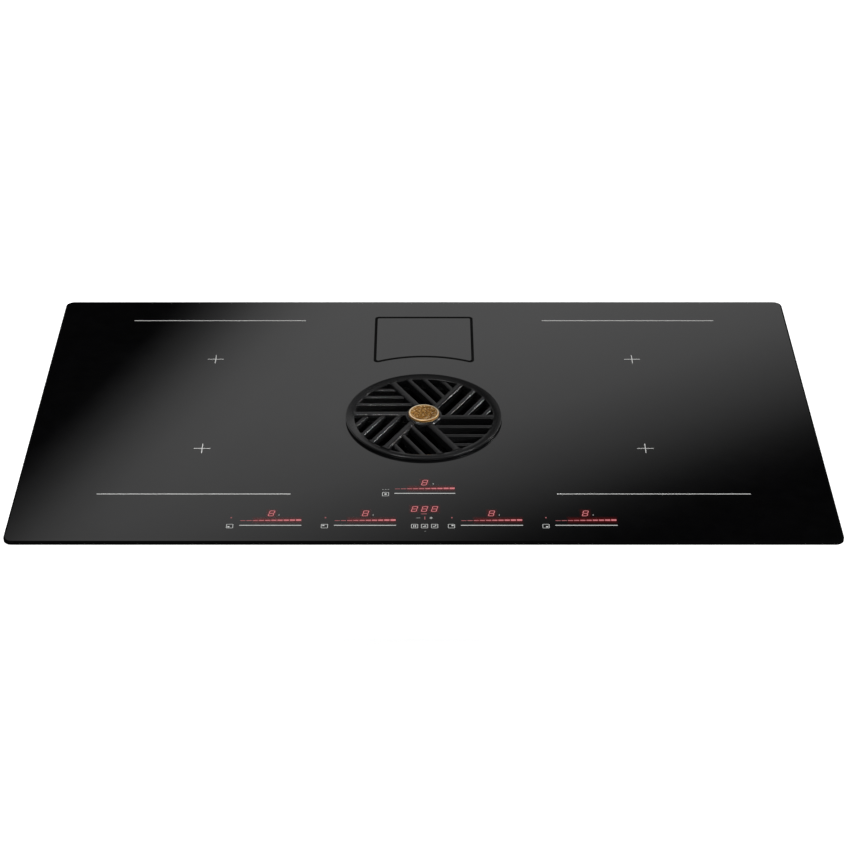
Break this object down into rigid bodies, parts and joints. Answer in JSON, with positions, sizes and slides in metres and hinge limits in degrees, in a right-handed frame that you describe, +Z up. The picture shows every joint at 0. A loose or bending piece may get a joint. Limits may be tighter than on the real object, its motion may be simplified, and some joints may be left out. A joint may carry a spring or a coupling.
{
  "type": "downdraft induction cooktop",
  "caption": "Built-in black glass induction cooktop with a central downdraft extractor, lift-off vent grille and inset weighing plate.",
  "frame": {"origin": "centre of the glass plate, on the worktop's surface under the foam seal", "axes": "+Z up, +X to the cook's right, +Y away from the cook; the touch controls are along the -Y edge"},
  "size_m": [0.9144, 0.5275, 0.2482],
  "materials": {
    "aluminium": "satin",
    "black_enamel": "satin black enamel",
    "black_glass": "polished",
    "black_plastic": "moulded",
    "black_steel": "black coated",
    "brass": "pressed, aged",
    "circuit_board": "solder mask",
    "copper_coil": "lacquered wire",
    "ferrite": "sintered",
    "foam": "matt foam",
    "grey_plastic": "moulded",
    "mica": "mica sheet",
    "silicone": "matt",
    "steel": "bright",
    "white_plastic": "light guide",
    "zinc_steel": "zinc coated sheet"
  },
  "bodies": {
    "chassis": {"glass_top": "black_glass", "worktop_seal": "foam", "support_frame": "zinc_steel", "chassis_pan": "zinc_steel", "pan_walls": "zinc_steel", "inlet_funnel": "black_plastic", "scale_seal": "silicone", "load_cell": "aluminium", "scale_bracket": "zinc_steel", "mica_sheet_left": "mica", "mica_sheet_right": "mica", "coil_tray_left": "aluminium", "coil_tray_right": "aluminium", "induction_coils": "copper_coil", "ferrite_bars": "ferrite", "temperature_sensors": "white_plastic", "tray_posts": "black_plastic", "board_standoffs": "white_plastic", "power_board_left": "circuit_board", "power_board_right": "circuit_board", "heat_sink_left": "aluminium", "heat_sink_right": "aluminium", "capacitors": "black_plastic", "chokes": "ferrite", "cooling_fan_frame_left": "black_plastic", "cooling_fan_frame_right": "black_plastic", "terminal_box": "black_plastic", "terminal_cover": "black_plastic", "cable_gland": "black_plastic", "light_guide": "white_plastic", "touch_board": "circuit_board", "duct_upper": "grey_plastic", "duct_lower": "grey_plastic", "duct_mounts": "silicone", "fan_partition": "grey_plastic", "motor_bushes": "silicone", "motor_bracket": "zinc_steel", "fan_motor": "zinc_steel", "outlet_spigot": "grey_plastic", "worktop_clips": "zinc_steel"},
    "grille": {"vent_grille": "black_enamel", "grille_medallion": "brass", "grille_pads": "silicone"},
    "grease_filter": {"filter_rim": "black_steel", "filter_basket": "black_steel", "filter_floor": "black_steel", "filter_handle": "black_steel"},
    "scale": {"scale_plate": "black_glass", "scale_carrier": "aluminium"},
    "fan_rotor": {"impeller": "aluminium", "impeller_blades": "aluminium", "impeller_shroud": "aluminium", "fan_shaft": "steel"},
    "left_cooling_rotor": {"cooling_rotor_left": "black_plastic"},
    "right_cooling_rotor": {"cooling_rotor_right": "black_plastic"},
    "drip_tray": {"drip_tray": "black_plastic"},
    "drain_plug": {"drain_plug": "silicone"}
  },
  "joints": [
    {"name": "grille_lift", "type": "slide", "parent": "chassis", "child": "grille", "axis": [0, 0, 1], "range_m": [0, 0.3]},
    {"name": "filter_lift", "type": "slide", "parent": "chassis", "child": "grease_filter", "axis": [0, 0, 1], "range_m": [0, 0.15]},
    {"name": "scale_travel", "type": "slide", "parent": "chassis", "child": "scale", "axis": [0, 0, -1], "range_m": [0, 0.0004], "stiffness_N_per_m": 20000, "springref_m": -0.00008},
    {"name": "fan_spin", "type": "hinge", "parent": "chassis", "child": "fan_rotor", "pos_m": [0, 0.153, -0.1], "axis": [0, 0, 1], "continuous": true},
    {"name": "left_cooling_spin", "type": "hinge", "parent": "chassis", "child": "left_cooling_rotor", "pos_m": [-0.253, 0.1181, -0.035], "axis": [0, 0, 1], "continuous": true},
    {"name": "right_cooling_spin", "type": "hinge", "parent": "chassis", "child": "right_cooling_rotor", "pos_m": [0.253, 0.1181, -0.035], "axis": [0, 0, 1], "continuous": true},
    {"name": "drip_tray_release", "type": "slide", "parent": "chassis", "child": "drip_tray", "axis": [0, 0, -1], "range_m": [0, 0.06]},
    {"name": "drain_plug_turn", "type": "hinge", "parent": "drip_tray", "child": "drain_plug", "pos_m": [0, -0.0124, -0.23], "axis": [0, 0, 1], "range_deg": [0, 90]}
  ],
  "couplings": [
    {"joint": "filter_lift", "follows": "grille_lift", "ratio": 0.5}
  ]
}
